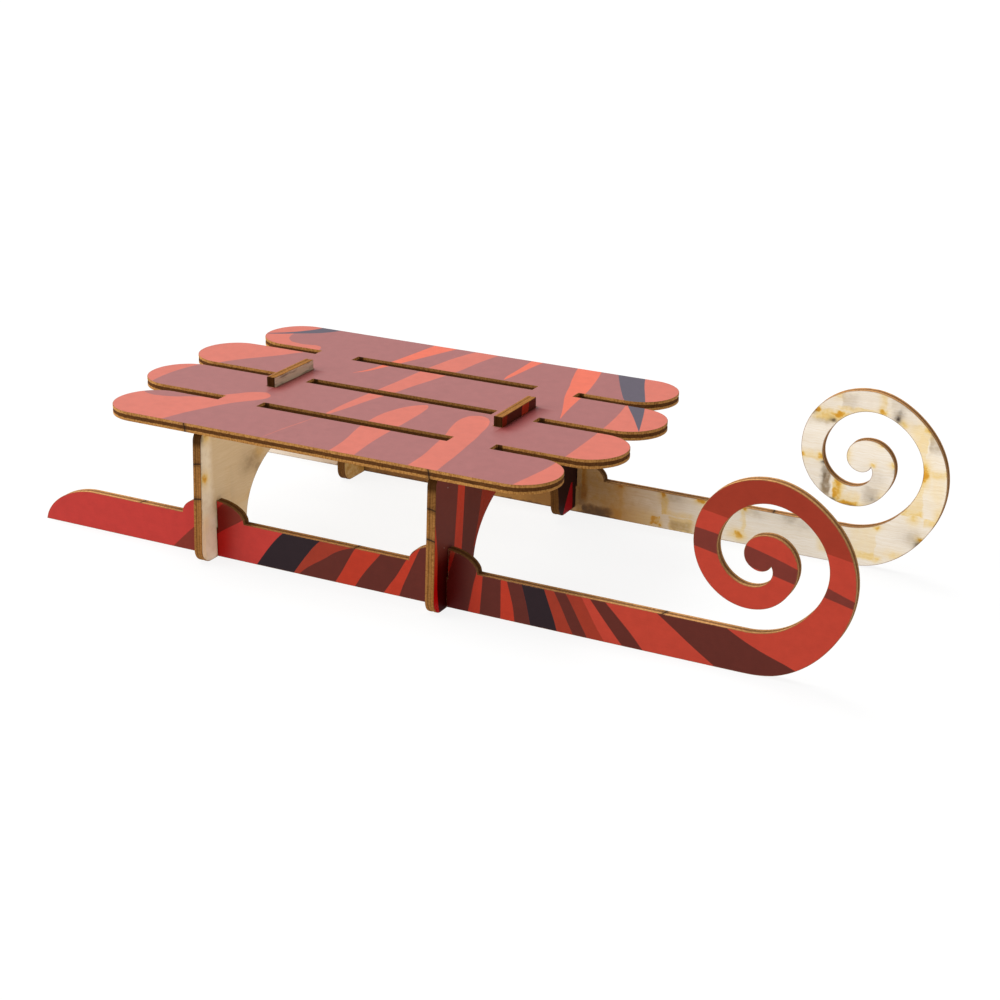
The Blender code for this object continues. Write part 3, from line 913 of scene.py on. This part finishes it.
def bare_veneer(name, plane, first_bars, pale, dark, stain, own_marks=None, bed_share=1.0,
                has_tenons=False, shade=None):
    """Pale veneer with grain along u, amber bars and smoke marks from the cutter's bed.

    first_bars are a place of a bar along u and along v.  stain and bed_share are the strengths of
    all marks and of the bed's regular ones.  shade is (u where painted shade below the deck starts,
    is full, starts to fade, is gone).
    """
    nodes = Nodes(name)
    places = print_coordinates(nodes)
    u, v = places[plane[0]], places[plane[1]]
    where = nodes.vector(u, v, 0.0)
    bend = nodes.wander(where, 0.35, 0.8)
    v_bent = nodes.math("ADD", v, bend)
    fine = nodes.noise(nodes.stretched(u, v_bent, 0.07, 2.6, 1.0), 1.0, 5.0, 0.72)
    broad = nodes.noise(nodes.stretched(u, v, 0.035, 0.22, 5.0), 1.0, 3.0, 0.55)
    pores = nodes.noise(nodes.stretched(u, v, 0.40, 7.0, 9.0), 1.0, 2.0, 0.6)
    colour = nodes.mix(nodes.ramp(fine, 0.30, 0.66), dark, pale)
    colour = nodes.mix(nodes.ramp(broad, 0.45, 0.72, 0.0, 0.35), colour, dark)
    colour = nodes.mix(nodes.ramp(pores, 0.64, 0.78, 0.0, 0.25), colour, PORE_COLOUR)

    rim = nodes.product(nodes.attribute("rim"), 1 / MM)
    blotch = nodes.noise(where, 0.40, 3.0, 0.6)
    layers = bed_layers(nodes, u, v, bend, first_bars, rim, bed_share)
    if own_marks:
        add_own_marks(nodes, layers, own_marks, u, v)
    # Painted shade: the veneer drawn darker below the deck.
    if shade:
        under_deck_shade = nodes.product(
            nodes.ramp(u, shade[0], shade[1]),
            nodes.ramp(u, shade[2], shade[3], 1.0, 0.0, smooth=False),
            nodes.ramp(blotch, 0.2, 0.8, 1.0, 0.90),
        )
        colour = nodes.mix(under_deck_shade, colour, UNDER_DECK_SHADE_TINT, "MULTIPLY")
    patchy = nodes.ramp(blotch, 0.28, 0.60, 0.70, 1.1)
    colour = stained(nodes, colour, layers, patchy, stain)
    colour = nodes.mix(nodes.ramp(rim, 0.0, 0.26, 0.60, 0.0), colour, RIM_LINE_COLOUR)
    # Painted light on the tenons above the deck, and their burnt streaks.
    if has_tenons:
        colour = painted_light_on_tenons(nodes, colour, u, v, places[2])
    normal = nodes.bump(nodes.math("ADD", fine, nodes.product(pores, -0.5)), 0.30, BUMP_DEPTH)
    rough = nodes.ramp(fine, 0.2, 0.8, 0.66, 0.52, smooth=False)
    return nodes.finish(colour, rough, normal, 0.2)


# ---------------- cut edges
GLUE_LINES = (0.325, 0.665)    # shares of the thickness below the printed face
GLUE_BLUR = 0.035
GLUE_COLOUR = (0.055, 0.020, 0.007)
SCORCH_COLOUR = (0.060, 0.024, 0.009)
FAR_COLOUR = (0.090, 0.036, 0.010)
LIP_COLOUR = (0.110, 0.042, 0.014)
TICK_COLOUR = (0.024, 0.013, 0.009)
TICK_SLANT = 0.5               # millimetres through the thickness
SHADE_BOX_COLOUR = (0.042, 0.015, 0.003)


def plies(nodes, level, veneer, core):
    """The three plies' colours with dark glue lines between them."""
    first, second = GLUE_LINES
    core_mask = nodes.product(
        nodes.ramp(level, first - GLUE_BLUR, first + GLUE_BLUR),
        nodes.ramp(level, second - GLUE_BLUR, second + GLUE_BLUR, 1.0, 0.0),
    )
    lines = []
    for line in GLUE_LINES:
        gap = nodes.math("ABSOLUTE", nodes.math("SUBTRACT", level, line))
        lines.append(nodes.ramp(gap, 0.01, 0.05, 1.0, 0.0))
    glue = nodes.product(nodes.math("MAXIMUM", lines[0], lines[1]), 0.70)
    return nodes.mix(core_mask, veneer, core), glue, core_mask


def cut_edge(name, tick_axis, ticks, veneer_ink, core_ink, scorch_bias=0.0, far_shade=0.0, shade_boxes=()):
    """Laser-cut edge: two tan veneers over a scorched core, striations and tick marks.

    ticks are places along tick_axis, in the print's coordinates.  far_shade darkens the ply at the
    bare face.  A dark box, mostly painted shade, is (strength, fade, then (axis, low, high) for one
    or more axes).
    """
    nodes = Nodes(name)
    run = nodes.product(nodes.attribute("run"), 1 / MM)
    depth = nodes.attribute("depth")
    places = print_coordinates(nodes)

    def along_edge(run_scale, depth_scale, seed, detail=3.0, rough=0.6):
        """Noise in millimetres along the edge and shares of the thickness."""
        return nodes.noise(nodes.stretched(run, depth, run_scale, depth_scale, seed), 1.0, detail, rough)

    wave = nodes.wander(nodes.stretched(run, depth, 0.5, 1.2, 0.0), 1.0, 0.07, 3.0, 0.6)
    level = nodes.math("ADD", depth, wave)
    streaks = along_edge(1.9, 2.4, 4.0, 4.0, 0.72)
    fibre = along_edge(0.30, 20.0, 7.0, 4.0, 0.65)
    tint = along_edge(0.12, 0.6, 9.0)
    veneer = nodes.mix(nodes.ramp(streaks, 0.30, 0.66), veneer_ink[0], veneer_ink[1])
    veneer = nodes.mix(nodes.ramp(fibre, 0.48, 0.75, 0.0, 0.6), veneer, veneer_ink[0])
    veneer = nodes.mix(nodes.ramp(tint, 0.45, 0.70, 0.0, 0.5), veneer, veneer_ink[1])
    grit = nodes.math("MULTIPLY_ADD", fibre, 0.5, nodes.product(streaks, 0.5))
    core = nodes.mix(nodes.ramp(grit, 0.35, 0.68), core_ink[0], core_ink[1])
    colour, glue, core_mask = plies(nodes, level, veneer, core)
    if far_shade:
        far = nodes.product(nodes.ramp(depth, 0.55, 0.75), far_shade)
        colour = nodes.mix(far, colour, FAR_COLOUR)
    colour = nodes.mix(glue, colour, GLUE_COLOUR)
    scorch = nodes.ramp(along_edge(0.085, 0.5, 2.0), 0.62 - scorch_bias, 0.80 - scorch_bias, 0.0, 0.70)
    colour = nodes.mix(scorch, colour, SCORCH_COLOUR)
    lip = nodes.math("MAXIMUM", nodes.ramp(depth, 0.0, 0.05, 1.0, 0.0), nodes.ramp(depth, 0.95, 1.0))
    colour = nodes.mix(nodes.product(lip, 0.5), colour, LIP_COLOUR)
    for tick in ticks:
        slant = nodes.math("MULTIPLY_ADD", depth, TICK_SLANT, tick)
        gap = nodes.math("ABSOLUTE", nodes.math("SUBTRACT", places[tick_axis], slant))
        line = nodes.ramp(gap, 0.15, 0.42, 0.9, 0.0)
        halo = nodes.ramp(gap, 0.2, 1.6, 0.35, 0.0)
        colour = nodes.mix(nodes.math("MAXIMUM", line, halo), colour, TICK_COLOUR)
    # Dark boxes, mostly painted shade on the edge.
    for strength, fade, *limits in shade_boxes:
        there = nodes.ramp(along_edge(0.8, 1.5, 5.0), 0.15, 0.5, strength * 0.85, strength)
        for axis, low, high in limits:
            enters = nodes.ramp(places[axis], low - fade, low)
            leaves = nodes.ramp(places[axis], high, high + fade, 1.0, 0.0)
            there = nodes.product(there, enters, leaves)
        colour = nodes.mix(there, colour, SHADE_BOX_COLOUR)
    normal = nodes.bump(streaks, 0.5, 0.08 * MM)
    rough = nodes.ramp(core_mask, 0.0, 1.0, 0.62, 0.80, smooth=False)
    return nodes.finish(colour, rough, normal, 0.02)


# ---------------- the object
# Colours come in pairs, the darker and the lighter one of a cut edge, the lighter first on a face.
CREAM = ((0.945, 0.87, 0.775), (0.85, 0.735, 0.575))
DECK_WOOD = ((0.90, 0.79, 0.62), (0.78, 0.63, 0.43))
# The legs' veneer is drawn darker and warmer than the runners' cream, partly as painted shade under the
# deck.
LEG_WOOD_WITH_PAINTED_SHADE = ((0.73, 0.555, 0.345), (0.66, 0.48, 0.28))
DECK_PLY = ((0.215, 0.080, 0.016), (0.520, 0.255, 0.072))
RUNNER_PLY = ((0.34, 0.160, 0.048), (0.555, 0.290, 0.112))
LEG_PLY = ((0.175, 0.066, 0.014), (0.360, 0.160, 0.043))
DARK_CORE = ((0.060, 0.020, 0.006), (0.150, 0.058, 0.015))
RUNNER_CORE = ((0.135, 0.058, 0.022), (0.300, 0.150, 0.060))
PALE_CORE = ((0.210, 0.085, 0.022), (0.370, 0.172, 0.046))

ALONG, ACROSS, UP = 0, 1, 2
DECK_PLANE = (ALONG, ACROSS, UP)
RUNNER_PLANE = (ALONG, UP, ACROSS)
LEG_PLANE = (ACROSS, UP, ALONG)

# Dark boxes, mostly painted shade: in the bosses' shade, in the slots and at their ends, and on the legs
# under the deck, at their tenons and toes.
RUNNER_SHADE_BOXES = ((0.66, 5, (ALONG, 71.5, 82)), (0.74, 5, (ALONG, 157, 165)))
DECK_SHADE_BOXES = (
    (0.45, 0.8, (ALONG, 77.4, 146), (ACROSS, 2, 94)),
    (0.95, 0.55, (ALONG, 77.15, 78.3), (ACROSS, 2, 94)),
    (0.95, 0.55, (ALONG, 162.15, 163.3), (ACROSS, 2, 94)),
)
LEG_SHADE_BOXES = (
    (0.97, 0.2, (ACROSS, 30, 36.0), (UP, 47.8, 60)),
    (0.90, 2.5, (UP, 41.0, 46.6), (ACROSS, -12, -5)),
    (0.35, 6, (UP, 37, 47)),
    (0.72, 3, (ACROSS, 78, 92.5), (UP, -1, 30)),
)


# Places of the tick marks on the cut edges, along the deck and the runners and up the legs.
DECK_TICKS = (66.0, 154.0)
RUNNER_TICKS = (40.1, 122.5, 226.6)
FRONT_LEG_TICKS = (34.0, 24.3)
REAR_LEG_TICKS = (33.6, 21.9)

# Where a bar of the cutter's bed crosses each bare face, along its grain and across it.
DECK_BARS = (8.0, 3.0)
RIGHT_RUNNER_BARS = (214.0, 5.0)
LEFT_RUNNER_BARS = (218.0, 5.0)
LEG_BARS = (8.0, 14.4)
# Painted shade on the left runner's bare face under the deck.
LEFT_RUNNER_SHADE = (0, 90, 171, 210)    # below the deck


def deck_finish():
    """Printed face, cut edge and bare face of the deck."""
    return (
        deck_print(),
        cut_edge("deck_edge", ALONG, DECK_TICKS, DECK_PLY, DARK_CORE, shade_boxes=DECK_SHADE_BOXES),
        bare_veneer("deck_bare", DECK_PLANE, DECK_BARS, *DECK_WOOD, 0.9),
    )


def runner_finishes():
    """The same for the right and the left runner, which differ in their bare faces."""
    face = runner_print()
    edge = cut_edge("runner_edge", ALONG, RUNNER_TICKS, RUNNER_PLY, RUNNER_CORE, far_shade=0.10,
                    shade_boxes=RUNNER_SHADE_BOXES)
    right_bare = bare_veneer("right_runner_bare", RUNNER_PLANE, RIGHT_RUNNER_BARS, *CREAM, 0.95)
    left_bare = bare_veneer("left_runner_bare", RUNNER_PLANE, LEFT_RUNNER_BARS, *CREAM, 1.0,
                            LEFT_RUNNER_MARKS, bed_share=0.0, shade=LEFT_RUNNER_SHADE)
    return (face, edge, right_bare), (face, edge, left_bare)


def leg_finishes():
    """The same for the front and the rear leg, which differ in the tick marks on their edges."""
    face = leg_print()
    bare = bare_veneer("leg_bare", LEG_PLANE, LEG_BARS, *LEG_WOOD_WITH_PAINTED_SHADE, 0.9, LEG_MARKS, bed_share=0.25,
                       has_tenons=True)
    front, rear = [
        cut_edge(name, UP, ticks, LEG_PLY, PALE_CORE, scorch_bias=0.02, shade_boxes=LEG_SHADE_BOXES)
        for name, ticks in (("front_leg_edge", FRONT_LEG_TICKS), ("rear_leg_edge", REAR_LEG_TICKS))
    ]
    return (face, front, bare), (face, rear, bare)


def build_toboggan():
    right_runner, left_runner = runner_finishes()
    front_leg, rear_leg = leg_finishes()
    sheets = (
        ("deck", DECK_PLANE, 1, deck_finish(), "deck_sheet"),
        ("right_runner", RUNNER_PLANE, -1, right_runner, "runner_sheet"),
        ("left_runner", RUNNER_PLANE, 1, left_runner, "runner_sheet"),
        ("front_leg", LEG_PLANE, 1, front_leg, "leg_sheet"),
        ("rear_leg", LEG_PLANE, -1, rear_leg, "leg_sheet"),
    )
    for node_name, plane, front_side, finish, record_slot in sheets:
        piece = plywood_sheet(node_name + "_sheet", node_name, plane, front_side)
        for material in finish:
            piece.data.materials.append(material)


def add_camera():
    """Camera at the photo's viewing angle."""
    data = bpy.data.cameras.new("photo_camera")
    data.lens = CAMERA_LENS
    data.sensor_width = SENSOR_WIDTH
    data.clip_start = 0.01
    camera = bpy.data.objects.new("photo_camera", data)
    turn = Matrix.Rotation(math.radians(CAMERA_AZIMUTH), 4, "Z")
    tilt = Matrix.Rotation(math.radians(90 - CAMERA_ELEVATION), 4, "X")
    roll = Matrix.Rotation(math.radians(CAMERA_ROLL), 4, "Z")
    camera.matrix_world = Matrix.Translation(CAMERA_PLACE) @ turn @ tilt @ roll
    bpy.context.scene.collection.objects.link(camera)
    bpy.context.scene.camera = camera


def add_sun(name, direction, width, strength):
    """Sun whose light comes from a direction, soft over a width in degrees."""
    data = bpy.data.lights.new(name, "SUN")
    data.angle = math.radians(width)
    data.energy = strength
    light = bpy.data.objects.new(name, data)
    light.rotation_euler = Vector(direction).to_track_quat("Z", "Y").to_euler()
    bpy.context.scene.collection.objects.link(light)


def add_studio():
    """Pale floor that glows like a light table, white surroundings and two soft lights."""
    nodes = Nodes("floor_paper")
    where = nodes.vector(*nodes.place())
    colour = nodes.mix(nodes.noise(where, 0.02, 3.0), *FLOOR_TONES)
    normal = nodes.bump(nodes.noise(where, 2.0, 2.0), 0.02, BUMP_DEPTH)
    paper = nodes.finish(colour, 0.9, normal, 0.1)
    nodes.shader.inputs["Emission Color"].default_value = (1.0, 1.0, 1.0, 1.0)
    nodes.shader.inputs["Emission Strength"].default_value = FLOOR_GLOW
    middle = (0, 0, -FLOOR_DROP)
    bpy.ops.mesh.primitive_circle_add(vertices=96, radius=FLOOR_RADIUS, fill_type="NGON", location=middle)
    floor = bpy.context.object
    floor.name = "studio_floor"
    floor.data.materials.append(paper)

    world = bpy.data.worlds.new("studio")
    world.use_nodes = True
    background = world.node_tree.nodes["Background"]
    background.inputs["Color"].default_value = (1.0, 1.0, 1.0, 1.0)
    background.inputs["Strength"].default_value = WORLD_LIGHT
    bpy.context.scene.world = world
    for sun in SUNS:
        add_sun(*sun)
    bpy.context.scene.view_settings.view_transform = "Standard"


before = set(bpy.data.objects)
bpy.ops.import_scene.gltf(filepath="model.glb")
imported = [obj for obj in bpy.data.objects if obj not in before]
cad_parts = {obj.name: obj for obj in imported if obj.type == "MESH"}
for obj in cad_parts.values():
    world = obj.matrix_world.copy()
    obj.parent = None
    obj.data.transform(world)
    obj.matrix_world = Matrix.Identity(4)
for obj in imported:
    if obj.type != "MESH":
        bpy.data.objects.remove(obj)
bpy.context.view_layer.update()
add_camera()
build_toboggan()
add_studio()
